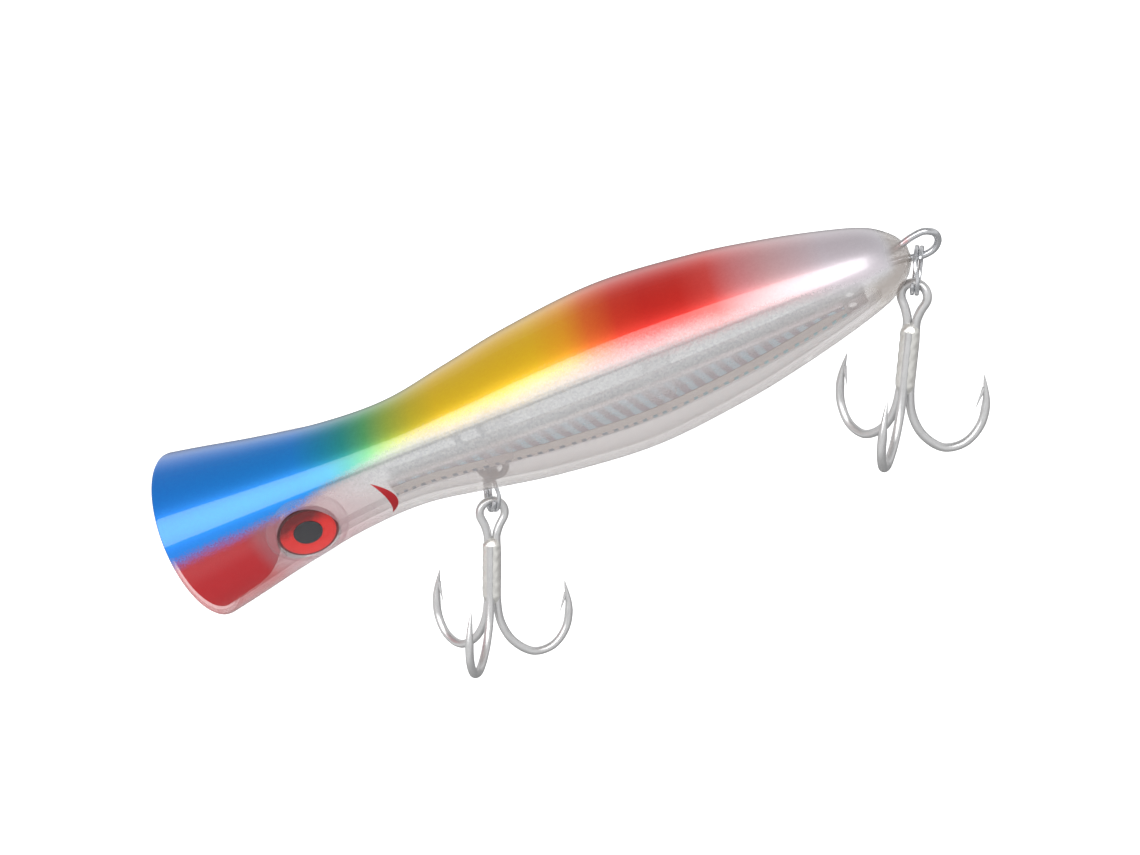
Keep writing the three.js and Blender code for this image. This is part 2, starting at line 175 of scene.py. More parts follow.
def between(a, b, low, high, t):
    """The point at t on the line that leaves a at low and reaches b at high."""
    return a * ((high - t) / (high - low)) + b * ((t - low) / (high - low))


def centripetal(points, per_span=14):
    """Centripetal Catmull-Rom through every point, as vectors."""
    pts = [Vector(p) for p in points]
    pts = [pts[0] * 2 - pts[1], *pts, pts[-1] * 2 - pts[-2]]
    out = []
    for i in range(1, len(pts) - 2):
        near = pts[i - 1:i + 3]
        knots = [0.0]
        for a, b in zip(near, near[1:]):
            knots.append(knots[-1] + max((b - a).length, 1e-6) ** 0.5)
        for s in range(per_span):
            t = knots[1] + (knots[2] - knots[1]) * s / per_span
            row = near
            for level in (1, 2):
                row = [between(a, b, knots[k], knots[k + level], t)
                       for k, (a, b) in enumerate(zip(row, row[1:]))]
            out.append(between(*row, knots[1], knots[2], t))
    out.append(pts[-2])
    return out


def even(points, step):
    """The same line with points about one step apart."""
    total = sum((b - a).length for a, b in zip(points, points[1:]))
    count = max(2, round(total / step))
    out, want, walked = [points[0]], total / count, 0.0
    for a, b in zip(points, points[1:]):
        span = (b - a).length
        while walked + span >= want * len(out) - 1e-9 and len(out) < count:
            out.append(a.lerp(b, (want * len(out) - walked) / span))
        walked += span
    out.append(points[-1])
    return out


def circle(sides):
    """Evenly spaced angles of one full turn."""
    return [2 * math.pi * k / sides for k in range(sides)]


PROFILE = catmull(list(zip(STATIONS, RADII)), 24)


def radius_at(x):
    """Outer radius of the body."""
    if x <= 0:
        return RADII[0]
    for (x0, r0), (x1, r1) in zip(PROFILE, PROFILE[1:]):
        if x0 <= x <= x1:
            return r0 + (r1 - r0) * (x - x0) / max(x1 - x0, 1e-9)
    return RADII[-1] * max(0.0, (BODY_LENGTH - x) / (BODY_LENGTH - STATIONS[-1]))


# ---- mesh building ----------------------------------------------------------------
def face_outwards(mesh, weld=None):
    """Turns every face outwards, after joining points closer than weld."""
    bm = bmesh.new()
    bm.from_mesh(mesh)
    if weld:
        bmesh.ops.remove_doubles(bm, verts=bm.verts, dist=weld)
    bmesh.ops.recalc_face_normals(bm, faces=bm.faces)
    bm.to_mesh(mesh)
    bm.free()


def make(name, part, materials, body, nodes, place=None, indices=None):
    """Piece from points in millimetres that rides on a body and stands for CAD nodes."""
    verts, faces = part
    mesh = bpy.data.meshes.new(name)
    points = [(place @ Vector(v) if place else Vector(v)) * MM for v in verts]
    mesh.from_pydata(points, [], faces)
    for material in materials:
        mesh.materials.append(material)
    if indices:
        mesh.polygons.foreach_set("material_index", indices)
    face_outwards(mesh, WELD)
    mesh.polygons.foreach_set("use_smooth", [True] * len(mesh.polygons))
    piece = bpy.data.objects.new(name, mesh)
    bpy.context.scene.collection.objects.link(piece)
    mesh.set_sharp_from_angle(angle=math.radians(SHARP_ANGLE))
    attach(piece, body)
    if nodes:
        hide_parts(*nodes)
    return piece


def loft(rings, closed_ends=True):
    """Quads between closed rings of equal length."""
    verts = [p for ring in rings for p in ring]
    n = len(rings[0])
    faces = []
    for i in range(len(rings) - 1):
        for k in range(n):
            m = (k + 1) % n
            faces.append((i * n + k, i * n + m, (i + 1) * n + m, (i + 1) * n + k))
    if closed_ends:
        faces.append(tuple(range(n))[::-1])
        faces.append(tuple((len(rings) - 1) * n + k for k in range(n)))
    return verts, faces


def sweep(points, radii, sides=ROUND_SIDES, closed=False):
    """Round tube along a line, with frames carried without twist; radii is one for all or a list."""
    n = len(points)
    side = None
    rings = []
    for i, p in enumerate(points):
        a = points[(i - 1) % n] if closed else points[max(i - 1, 0)]
        b = points[(i + 1) % n] if closed else points[min(i + 1, n - 1)]
        tangent = (b - a).normalized()
        if side is None:
            side = Vector((0, 1, 0)) if abs(tangent.y) < 0.9 else Vector((1, 0, 0))
        side = (side - tangent * side.dot(tangent)).normalized()
        up = tangent.cross(side)
        r = radii[i] if isinstance(radii, list) else radii
        rings.append([p + side * (r * math.cos(turn)) + up * (r * math.sin(turn)) for turn in circle(sides)])
    if closed:
        rings.append(rings[0])
    return loft(rings, closed_ends=not closed)


def lathe(profile, sides, place, closed_ends=True):
    """Solid of revolution about the local X axis from (x, radius) pairs."""
    rings = []
    for x, radius in profile:
        r = max(radius, POLE_R)
        rings.append([place @ Vector((x, r * math.cos(turn), r * math.sin(turn))) for turn in circle(sides)])
    return loft(rings, closed_ends)


def merged(*parts):
    """Several parts as one list of points and one of faces."""
    verts, faces = [], []
    for more_verts, more_faces in parts:
        base = len(verts)
        verts += more_verts
        faces += [tuple(base + i for i in face) for face in more_faces]
    return verts, faces


def crosswise(x, z, side):
    """Local X points out to one side from the middle plane."""
    return Matrix.Translation((x, 0, z)) @ Matrix.Rotation(math.radians(90) * side, 4, "Z")


# ---- node helpers ------------------------------------------------------------------
def set_stops(color_ramp, stops):
    """Gives a colour ramp its stops; a plain number stands for a grey."""
    elements = color_ramp.elements
    while len(elements) < len(stops):
        elements.new(0.5)
    for element, (position, _) in zip(elements, stops):
        element.position = position
    for element, (_, color) in zip(elements, stops):
        element.color = (*color, 1) if isinstance(color, tuple) else (color, color, color, 1)


class Shade:
    """A material's node tree, with short ways to add and link nodes."""

    def __init__(self, name):
        self.material = bpy.data.materials.new(name)
        self.material.use_nodes = True
        self.tree = self.material.node_tree
        self.tree.nodes.clear()
        self.object = self.node("ShaderNodeTexCoord").outputs["Object"]

    def node(self, kind, sockets=None, **props):
        made = self.tree.nodes.new(kind)
        for key, value in props.items():
            setattr(made, key, value)
        for key, value in (sockets or {}).items():
            self.put(made.inputs[key], value)
        return made

    def put(self, socket, value):
        if isinstance(value, bpy.types.NodeSocket):
            self.tree.links.new(value, socket)
        else:
            color = socket.type == "RGBA" and len(value) == 3
            socket.default_value = (*value, 1) if color else value

    def math(self, operation, a, b=None):
        made = self.node("ShaderNodeMath", operation=operation)
        self.put(made.inputs[0], a)
        if b is not None:
            self.put(made.inputs[1], b)
        return made.outputs[0]

    def add(self, a, b):
        return self.math("ADD", a, b)

    def minus(self, a, b):
        return self.math("SUBTRACT", a, b)

    def times(self, a, b):
        return self.math("MULTIPLY", a, b)

    def larger(self, a, b):
        return self.math("MAXIMUM", a, b)

    def spread(self, noise, width):
        """Noise shifted to lie about zero and widened."""
        return self.times(self.minus(noise, 0.5), width)

    def fit(self, value, low, high, to_low=0.0, to_high=1.0):
        """Smooth step from to_low at low to to_high at high."""
        made = self.node("ShaderNodeMapRange", interpolation_type="SMOOTHSTEP", clamp=True)
        for index, item in enumerate((value, low, high, to_low, to_high)):
            self.put(made.inputs[index], item)
        return made.outputs[0]

    def mix(self, factor, a, b, blend="MIX"):
        """Colour between a and b."""
        made = self.node("ShaderNodeMix", data_type="RGBA", blend_type=blend)
        self.put(made.inputs[0], factor)
        self.put(made.inputs[6], a)
        self.put(made.inputs[7], b)
        return made.outputs[2]

    def blend(self, factor, a, b):
        """Number between a and b."""
        made = self.node("ShaderNodeMix", data_type="FLOAT")
        self.put(made.inputs[0], factor)
        self.put(made.inputs[2], a)
        self.put(made.inputs[3], b)
        return made.outputs[0]

    def ramp(self, value, stops):
        made = self.node("ShaderNodeValToRGB")
        set_stops(made.color_ramp, stops)
        self.put(made.inputs[0], value)
        return made.outputs[0]

    def noise(self, scale, detail=2, roughness=0.5, stretch=None):
        source = self.object
        if stretch:
            source = self.node("ShaderNodeMapping", {"Vector": source, "Scale": stretch}).outputs[0]
        made = self.node("ShaderNodeTexNoise", {"Vector": source, "Scale": scale, "Detail": detail,
                                                "Roughness": roughness})
        return made.outputs["Fac"]

    def xyz(self, vector=None):
        return self.node("ShaderNodeSeparateXYZ", {0: vector or self.object}).outputs

    def edges(self, power):
        """Nought face on, rising to one where the surface turns away."""
        facing = self.node("ShaderNodeLayerWeight", {"Blend": 0.5}).outputs["Facing"]
        return self.math("POWER", facing, power)

    def bump(self, height, distance, strength):
        made = self.node("ShaderNodeBump", {"Height": height, "Distance": distance, "Strength": strength})
        return made.outputs[0]

    def finish(self, **sockets):
        names = {key.replace("_", " ").title(): value for key, value in sockets.items()}
        shader = self.node("ShaderNodeBsdfPrincipled", names)
        out = self.node("ShaderNodeOutputMaterial")
        self.tree.links.new(shader.outputs[0], out.inputs[0])
        return self.material


def srgb(r, g, b, gain=1.0):
    """Linear colour of an 8-bit value, scaled."""
    def linear(c):
        c /= 255
        return c / 12.92 if c <= 0.04045 else ((c + 0.055) / 1.055) ** 2.4
    return tuple(min(1.0, linear(c) * gain) for c in (r, g, b))


# ---- body materials -------------------------------------------------------------------
def gill_mask(m, x, angle):
    """One inside the crescent at the middle of each side, whose tips bend towards the mouth."""
    swing = m.math("DIVIDE", angle, GILL_SPAN)
    square = m.times(swing, swing)
    offset = m.math("ABSOLUTE", m.add(m.minus(x, GILL_X * MM), m.times(square, GILL_BOW * MM)))
    half = m.times(m.minus(1.0, square), GILL_HALF * MM)
    return m.fit(m.minus(half, offset), 0.0, GILL_EDGE * MM)


def skin_material():
    """Clear plastic with pearl haze on the flanks and sprayed paint on the back."""
    m = Shade("painted_clear_shell")
    x, y, z = m.xyz()[0:3]
    along = m.math("DIVIDE", x, BODY_LENGTH * MM)
    angle = m.math("DEGREES", m.math("ARCTAN2", z, m.math("ABSOLUTE", y)))
    fine = m.noise(2600)
    cloud = m.noise(120, 3, stretch=(0.5, 1, 1))
    sparkle = m.node("ShaderNodeTexVoronoi", {"Vector": m.object, "Scale": 2600.0}).outputs["Color"]
    glitter = m.xyz(sparkle)[0]

    def past(place, stretch, to_high=1.0):
        return m.fit(place, stretch[0] * MM, stretch[1] * MM, 0.0, to_high)

    # the spray's edge wanders round the body, and the last millimetres before the tail loop stay clear
    rough_angle = m.add(angle, m.add(m.spread(fine, SPRAY_GRAIN), m.spread(cloud, SPRAY_WANDER)))
    start = m.times(m.ramp(along, SPRAY_START), 90)
    full = m.times(m.ramp(along, SPRAY_FULL), 90)
    paint = m.fit(rough_angle, start, full)
    tail = past(m.add(x, m.spread(cloud, 0.004)), PAINT_ENDS)
    paint = m.times(paint, m.minus(1.0, m.times(tail, 0.85)))
    # pearl haze under the paint, from just below its edge to the middle of the side
    haze = m.times(m.fit(rough_angle, *HAZE_ANGLES), past(x, PINK_HEAD_ENDS))
    haze = m.times(haze, m.minus(1.0, tail))
    gill = gill_mask(m, x, angle)

    pearl = m.mix(glitter, srgb(*PEARL_DARK), srgb(*PEARL_LIGHT))
    clear = m.mix(past(x, RED_HEAD_ENDS), srgb(*HEAD_RED), srgb(*HEAD_PINK))
    clear = m.mix(past(x, PINK_HEAD_ENDS), clear, srgb(*FLANK_TINT))
    clear = m.mix(past(x, TAIL_TINT_STARTS), clear, srgb(*TAIL_TINT))
    color = m.ramp(along, [(place / BODY_LENGTH, srgb(*tone, PAINT_GAIN)) for place, tone in PAINT])
    painted = m.mix(m.times(glitter, 0.12), color, (1, 1, 1, 1), "SOFT_LIGHT")
    tone = m.mix(paint, m.mix(haze, clear, pearl), painted)
    tone = m.mix(gill, tone, srgb(*GILL_RED))

    flank_alpha = m.blend(m.fit(angle, *BELLY_ANGLES), BELLY_ALPHA, SIDE_ALPHA)
    flank_alpha = m.larger(flank_alpha, past(x, TAIL_ALPHA_STARTS, TAIL_ALPHA))
    alpha = m.blend(past(x, HEAD_ALPHA_ENDS), HEAD_ALPHA, flank_alpha)
    alpha = m.blend(haze, alpha, PEARL_ALPHA)
    alpha = m.larger(m.blend(paint, alpha, 1.0), gill)
    alpha = m.larger(alpha, m.times(m.edges(3.0), RIM_ALPHA))
    solid = m.larger(paint, gill)
    return m.finish(
        base_color=tone,
        metallic=m.blend(solid, 0.0, 0.45),
        roughness=m.blend(solid, 0.12, m.blend(cloud, 0.3, 0.4)),
        alpha=alpha,
        coat_weight=1.0,
        coat_roughness=0.03,
        normal=m.bump(m.times(cloud, solid), 0.00006, 0.25))


def clear_material(name, low, high, tint):
    """Clear moulded plastic: faint face on, denser towards its edges."""
    m = Shade(name)
    flow = m.noise(160, 3, stretch=(0.4, 1, 1))
    alpha = m.blend(m.edges(2.5), m.blend(flow, low * 0.8, low * 1.2), high)
    return m.finish(
        base_color=m.mix(flow, tuple(c * 0.9 for c in tint), tint),
        roughness=m.blend(flow, 0.056, 0.104),
        alpha=alpha,
        coat_weight=1.0,
        coat_roughness=0.02,
        normal=m.bump(flow, 0.00008, 0.3))


skin = skin_material()
inner_wall = clear_material("clear_inner_wall", 0.12, 0.4, srgb(186, 177, 174))
edge_wall = clear_material("clear_edge", 0.4, 0.7, srgb(200, 200, 204))
post_clear = clear_material("clear_post", 0.14, 0.7, srgb(196, 188, 192))


# ---- shell halves ----------------------------------------------------------------------
def eye_place(side):
    """Local X is the eye's normal, and the origin is on the body axis."""
    lean = math.radians(EYE_LEAN)
    normal = Vector((math.sin(lean), side * math.cos(lean), 0))
    across = Vector((0, 0, 1)).cross(normal)
    turn = Matrix((normal, across, Vector((0, 0, 1)))).transposed()
    return Matrix.Translation(EYE_CENTRE) @ turn.to_4x4()


def shell_sections():
    """Place along the body with the outer and inner radius there, from the lip to the tail."""
    sections = [(x, radius_at(x) - drawn_in, radius_at(x) - wall) for x, drawn_in, wall in LIP]
    for i in range(SHELL_ROWS + 1):
        x = LIP_END + (TIP_START - LIP_END) * (i / SHELL_ROWS)
        outer = radius_at(x)
        inner = outer - WALL
        if x > CAVITY_END:
            inner = max(TAIL_BORE, inner * (1 - (x - CAVITY_END) / CAVITY_TAPER))
        sections.append((x, outer, min(inner, outer - THINNEST_WALL)))
    sections += [(x, outer, TAIL_BORE) for x, outer in TAIL_TIP]
    return sections


def half_shell(side):
    """Outer wall (material 0), inner wall (1) and seam and ends (2) of one half as one closed solid."""
    sections = shell_sections()
    n = SHELL_COLUMNS + 1
    verts, faces, indices = [], [], []
    for x, outer, inner in sections:
        for r in (outer, inner):
            for k in range(n):
                a = math.radians(-90 + 180 * k / SHELL_COLUMNS)
                verts.append(Vector((x, side * (r * math.cos(a)), r * math.sin(a))))

    def put(face, index):
        faces.append(face)
        indices.append(index)

    for i in range(len(sections) - 1):
        a, b = i * 2 * n, (i + 1) * 2 * n
        for k in range(SHELL_COLUMNS):
            put((a + k, a + k + 1, b + k + 1, b + k), 0)
            put((a + n + k, b + n + k, b + n + k + 1, a + n + k + 1), 1)
        for k in (0, SHELL_COLUMNS):
            put((a + k, b + k, b + n + k, a + n + k), 2)
    for a in (0, (len(sections) - 1) * 2 * n):
        for k in range(SHELL_COLUMNS):
            put((a + k, a + n + k, a + n + k + 1, a + k + 1), 2)
    return (verts, faces), indices


def cut(piece, tool_part):
    """Subtracts a closed solid from a piece and keeps the result as its mesh."""
    mesh = bpy.data.meshes.new("cutter")
    mesh.from_pydata([Vector(v) * MM for v in tool_part[0]], [], tool_part[1])
    mesh.materials.append(edge_wall)
    face_outwards(mesh)
    tool = bpy.data.objects.new("cutter", mesh)
    bpy.context.scene.collection.objects.link(tool)
    modifier = piece.modifiers.new("cut", "BOOLEAN")
    modifier.operation = "DIFFERENCE"
    modifier.solver = "EXACT"
    modifier.material_mode = "TRANSFER"
    modifier.object = tool
    result = bpy.data.meshes.new_from_object(piece.evaluated_get(bpy.context.evaluated_depsgraph_get()))
    piece.modifiers.clear()
    piece.data = result
    bpy.data.objects.remove(tool)


def eye_pocket(side):
    """What the seat of the eye takes out of the shell."""
    outside = EYE_SEAT + 8
    profile = [(EYE_SEAT, 0), (EYE_SEAT, EYE_R + 0.12), (outside, EYE_R + 0.5), (outside, 0)]
    return lathe(profile, EYE_SIDES, eye_place(side))


def eye_cup(side):
    """The moulded cup behind the eye."""
    back, face, floor = EYE_SEAT - 1.4, EYE_SEAT + 0.1, EYE_SEAT - 0.05
    profile = [(back, 0), (back, SOCKET_R - 0.3), (EYE_SEAT - 1.1, SOCKET_R), (face, SOCKET_R),
               (face, EYE_R + 0.3), (floor, EYE_R + 0.2), (floor, 0)]
    return lathe(profile, 72, eye_place(side))


def post(x, z, side):
    """Half of a post that joins the two halves."""
    reach = math.sqrt((radius_at(x) - WALL + 0.2) ** 2 - z ** 2)
    profile = [(1.1, 0), (1.1, POST_R - 0.3), (1.3, POST_R), (reach, POST_R + 0.15), (reach, 0)]
    return lathe(profile, 40, crosswise(x, z, side))


for side, name in SIDES:
    part, indices = half_shell(side)
    half = make(f"shell_half_{name}", part, [skin, inner_wall, edge_wall], "body", [f"shell_{name}"],
                indices=indices)
    cut(half, eye_pocket(side))
    posts = merged(eye_cup(side), *[post(x, z, side) for x, z in POSTS])
    make(f"shell_posts_{name}", posts, [post_clear], "body", [])


# ---- mouth cup -----------------------------------------------------------------------------
def cup_material():
    m = Shade("red_cup")
    grain = m.noise(90, 4)
    return m.finish(
        base_color=m.mix(grain, srgb(176, 30, 36), srgb(205, 46, 52)),
        roughness=m.blend(m.noise(1500), 0.24, 0.4),
        coat_weight=0.6,
        coat_roughness=0.06,
        normal=m.bump(grain, 0.0001, 0.2))


cup_back = catmull(CUP_BACK + [(17, CUP_HOLE)], 8)
cup_face = catmull([(15.7, CUP_HOLE)] + CUP_FACE[::-1], 8)
bowl = lathe([*cup_back, *cup_face, *CUP_RIM, cup_back[0]], 120, Matrix(), closed_ends=False)
make("red_mouth_cup", bowl, [cup_material()], "body", ["mouth_cup"])


# ---- steel ------------------------------------------------------------------------------------
def steel_material(name, low, high, rough, paint=None):
    """Drawn or plated steel with fine scratches; paint is the colour sprayed on its tail end."""
    m = Shade(name)
    wear = m.noise(260, 4)
    scratch = m.noise(1800, 3, roughness=0.7)
    tone = m.mix(m.times(m.add(wear, scratch), 0.5), low, high)
    metallic = 0.8
    if paint:
        x, _, z = m.xyz()[0:3]
        above = m.fit(m.minus(z, m.times(m.minus(x, BODY_LENGTH * MM), 1.2)), 0.0018, 0.004)
        spot = m.times(m.times(above, m.fit(x, 156 * MM, 158 * MM)), m.fit(wear, 0.42, 0.58))
        tone = m.mix(spot, tone, paint)
        metallic = m.minus(metallic, m.times(spot, 0.7))
    return m.finish(
        base_color=tone,
        metallic=metallic,
        roughness=m.blend(scratch, rough * 0.75, rough * 1.35),
        normal=m.bump(m.add(m.times(scratch, 0.4), wear), 0.00004, 0.35))


wire_steel = steel_material("drawn_wire", srgb(184, 186, 190), srgb(230, 231, 234), 0.2,
                            paint=srgb(206, 60, 60))
ring_steel = steel_material("ring_wire", srgb(190, 192, 196), srgb(232, 233, 236), 0.22)
hook_steel = steel_material("hook_plating", srgb(196, 196, 197), srgb(236, 236, 236), 0.34)


def hanger_line():
    """The belly loop: down from the straight wire, half round and up again."""
    line = [Vector((HANGER_X - HANGER_R, 0, 0))]
    for i in range(33):
        a = math.pi * (1 + i / 32)
        line.append(Vector((HANGER_X + HANGER_R * math.cos(a), 0, HANGER_Z + HANGER_R * (1 + math.sin(a)))))
    line.append(Vector((HANGER_X + HANGER_R, 0, 0)))
    return line


# the wire: line-tie loop, straight length, belly loop and tail loop
tie_loop = [Vector((TIE_LOOP_R * math.cos(a), 0, TIE_LOOP_R * math.sin(a))) for a in circle(72)]
wire = merged(
    sweep(tie_loop, WIRE_R, closed=True),
    sweep([Vector((TIE_LOOP_R, 0, 0)), Vector((WIRE_END, 0, 0))], WIRE_R),
    sweep(hanger_line(), WIRE_R),
    sweep(even(centripetal([(x, 0, z) for x, z in TAIL_LOOP]), 0.35), WIRE_R))
make("through_wire_frame", wire, [wire_steel], "body", ["through_wire"])


# ---- insert plates and foils ---------------------------------------------------------------------
def plate_top(x):
    return -4.4 - 1.9 * math.sin(math.pi * (x - PLATE_START) / (PLATE_END - PLATE_START))


def plate_bottom(x):
    y = PLATE_INNER_Y + PLATE_T + FOIL_T + 0.1
    return -math.sqrt((radius_at(x) - WALL - 0.3) ** 2 - y * y)


def panel(x0, x1, inner_y, thickness, top, bottom, side, steps=90):
    """Flat upright panel between two lines, with bevelled edges."""
    outer_y = inner_y + thickness
    e = PLATE_BEVEL
    rings = []
    for i in range(steps + 1):
        x = x0 + (x1 - x0) * i / steps
        t, b = top(x), bottom(x)
        corners = [(inner_y + e, t), (outer_y - e, t), (outer_y, t - e), (outer_y, b + e),
                   (outer_y - e, b), (inner_y + e, b), (inner_y, b + e), (inner_y, t - e)]
        rings.append([Vector((x, side * y, z)) for y, z in corners])
    return loft(rings)


def strip_material(name, dark, light, low, high, dashes=None):
    """Moulded plastic of the strip; dashes is a second colour in short marks along it."""
    m = Shade(name)
    flow = m.noise(240, 3, stretch=(0.3, 1, 1))
    tone = m.mix(flow, dark, light)
    if dashes:
        x = m.xyz()[0]
        phase = m.add(m.times(x, 2 * math.pi / (DASH_PITCH * MM)), m.times(m.noise(90), 9))
        mark = m.mix(m.fit(x, 80 * MM, 130 * MM), dashes, srgb(120, 196, 210))
        tone = m.mix(m.fit(m.math("SINE", phase), -0.1, 0.5), tone, mark)
    return m.finish(
        base_color=tone,
        roughness=m.blend(flow, 0.22, 0.4),
        alpha=m.blend(flow, low, high),
        coat_weight=0.5,
        coat_roughness=0.05)


def foil_material():
    """Holographic scales: blurred slanted bars, bluish on lilac grey."""
    m = Shade("scale_film")
    x, _, z = m.xyz()[0:3]
    cloud = m.noise(420, 3)
    slant = m.add(m.add(x, m.times(z, SCALE_SLANT)), m.spread(cloud, 0.0012))
    wave = m.math("SINE", m.times(slant, 2 * math.pi / (SCALE_PITCH * MM)))
    hue = m.noise(300)
    cool = m.mix(hue, srgb(160, 214, 238), srgb(214, 234, 246))
    warm = m.mix(hue, srgb(150, 142, 160), srgb(180, 172, 184))
    return m.finish(
        base_color=m.mix(m.fit(wave, -0.6, 0.8), warm, cool),
        metallic=0.35,
        roughness=m.blend(cloud, 0.25, 0.45),
        coat_weight=0.6,
        coat_roughness=0.05,
        normal=m.bump(wave, 0.0001, 0.4))


strip_materials = [
    strip_material("strip_top_line", srgb(236, 222, 226), srgb(252, 244, 246), 0.9, 1.0),
    strip_material("strip_milky", srgb(186, 180, 182), srgb(206, 200, 200), 0.6, 0.75),
    strip_material("strip_brown_line", srgb(112, 86, 82), srgb(142, 114, 108), 0.85, 0.95),
    strip_material("strip_band", srgb(206, 200, 196), srgb(232, 226, 222), 0.8, 0.95),
    strip_material("strip_edge", srgb(196, 190, 188), srgb(222, 216, 212), 0.8, 0.95, srgb(92, 116, 140)),
]
milky = strip_materials[1]
film = foil_material()


def strip_levels(x):
    """Heights of the edges of the strip's five bands, from its top to its bottom."""
    top, bottom = plate_top(x), plate_bottom(x)
    band = min(bottom + STRIP_BAND, top - 1.2)
    return [top, top - STRIP_TOP_LINE, max(band + 0.35, bottom + 1.3), max(band, bottom + 1.0),
            bottom + 0.75, bottom]


def strip_part(k, side):
    """Band k of the strip."""
    def top(x):
        return strip_levels(x)[k]

    def bottom(x):
        return strip_levels(x)[k + 1]

    return panel(PLATE_START, FOIL_END, PLATE_INNER_Y, PLATE_T, top, bottom, side)


def film_top(x):
    return plate_top(x) - STRIP_TOP_LINE


def film_bottom(x):
    return min(plate_bottom(x) + STRIP_BAND + 0.4, plate_top(x) - 1.4)


for side, name in SIDES:
    bands = [strip_part(k, side) for k in range(len(strip_materials))]
    indices = [k for k, band in enumerate(bands) for _ in band[1]]
    make(f"insert_strip_{name}", merged(*bands), strip_materials, "body", [f"insert_plate_{name}"],
         indices=indices)
    # the tail end of the plate, past the film, with a hole through it
    end = panel(FOIL_END, PLATE_END, PLATE_INNER_Y, PLATE_T, plate_top, plate_bottom, side, 20)
    tab = make(f"insert_tab_{name}", end, [milky], "body", [])
    hole = [(0.5, 0), (0.5, PLATE_HOLE_R), (3, PLATE_HOLE_R), (3, 0)]
    cut(tab, lathe(hole, 32, crosswise(*PLATE_HOLE, side)))
    film_y = PLATE_INNER_Y + PLATE_T + FOIL_LIFT
    sheet = panel(PLATE_START + 1, FOIL_END, film_y, FOIL_T, film_top, film_bottom, side)
    make(f"scale_film_{name}", sheet, [film], "body", [f"scale_foil_{name}"])


# ---- eyes ----------------------------------------------------------------------------------------
def iris_material(name, low, high, dark):
    """Red foil with a fine grain; painted shade darkens its top to the colour dark, standing in for the
    socket's shadow.
    """
    m = Shade(name)
    grain = m.noise(900, 3)
    # painted shade: the iris's top is darkened as though shadowed by the upper edge of its socket
    painted_top_shade = m.fit(m.add(m.xyz()[2], m.spread(grain, 0.003)), 0.0, 0.004)
    return m.finish(
        base_color=m.mix(painted_top_shade, m.mix(grain, low, high), dark),
        metallic=0.3,
        roughness=m.blend(grain, 0.25, 0.4),
        coat_weight=0.3,
        coat_roughness=0.08)


def pupil_material():
    m = Shade("black_pupil")
    fleck = m.noise(1200)
    return m.finish(
        base_color=m.mix(fleck, srgb(22, 22, 26), srgb(44, 44, 50)),
        roughness=m.blend(fleck, 0.35, 0.5))


def dome_material():
    m = Shade("clear_dome")
    return m.finish(
        base_color=m.mix(m.noise(200), srgb(238, 238, 240), srgb(250, 250, 252)),
        roughness=0.03,
        alpha=m.blend(m.edges(3.0), 0.008, 0.4),
        coat_weight=1.0,
        coat_roughness=0.01)


# the last colour of each iris is the painted shade laid over its top
iris_red = iris_material("red_iris", srgb(214, 18, 16), srgb(238, 38, 30), srgb(112, 10, 18))
iris_edge = iris_material("iris_border", srgb(96, 6, 12), srgb(130, 14, 20), srgb(66, 6, 12))
pupil_black = pupil_material()
resin = dome_material()


def iris_part(low, top, place):
    """Disc with a raised rim; its first bands, round the border, are the darker ones."""
    profile = [(low, 0), (low, EYE_R - 0.05), (top - 0.25, EYE_R), (top - 0.05, EYE_R - 0.25),
               (top, EYE_R - 0.6), (top - 0.12, EYE_R - 1.2), (top - 0.2, 0)]
    disc = lathe(profile, EYE_SIDES, place)
    indices = [1 if i < EYE_SIDES * BORDER_BANDS else 0 for i in range(len(disc[1]))]
    return disc, indices


def pupil_part(top, place):
    profile = [(top - 0.1, 0), (top - 0.1, PUPIL_R), (top + 0.1, PUPIL_R - 0.08),
               (top + 0.12, PUPIL_R - 0.4), (top + 0.12, 0)]
    return lathe(profile, 72, place)


def dome_part(place):
    profile = [(DOME_BASE, 0), (DOME_BASE, EYE_R - 0.06), (DOME_BASE + 0.12, EYE_R)]
    for i in range(25):
        a = math.pi / 2 * i / 24
        profile.append((DOME_BASE + 0.15 + (DOME_RISE - 0.15) * math.sin(a), EYE_R * math.cos(a)))
    return lathe(profile, EYE_SIDES, place)


for side, name in SIDES:
    place = eye_place(side)
    iris_top = EYE_SEAT + 0.88
    disc, indices = iris_part(EYE_SEAT + 0.1, iris_top, place)
    make(f"iris_{name}", disc, [iris_red, iris_edge], "body", [f"eye_iris_{name}"],
         indices=indices)
    make(f"pupil_{name}", pupil_part(iris_top, place), [pupil_black], "body", [f"eye_pupil_{name}"])
    make(f"dome_{name}", dome_part(place), [resin], "body", [f"eye_dome_{name}"])


# ---- split rings and trebles ------------------------------------------------------------------------
def hang_frame(chain):
    """Directions down along a hanging chain, along the lure and across it."""
    f, s = math.radians(chain["forward"]), math.radians(chain["side"])
    down = Vector((-math.sin(f) * math.cos(s), -math.sin(s), -math.cos(f) * math.cos(s)))
    along = Vector((math.cos(f), 0, -math.sin(f)))
    return down, along, (-down).cross(along)


def turned(hang, degrees, origin):
    """Place whose local Z points up the chain, turned about it."""
    down, along, across = hang
    a = math.radians(degrees)
    x = along * math.cos(a) + across * math.sin(a)
    z = -down
    y = z.cross(x)
    return Matrix.Translation(origin) @ Matrix((x, y, z)).transposed().to_4x4()


def polar(azimuth, r, depth):
    """Point r from the shank's axis and depth below the hook's eye."""
    return Vector((r * math.cos(math.radians(azimuth)), r * math.sin(math.radians(azimuth)), -depth))


def squared(value):
    """A circle's sine or cosine pushed out towards a rounded square's."""
    return math.copysign(abs(value) ** RING_SQUARENESS, value)


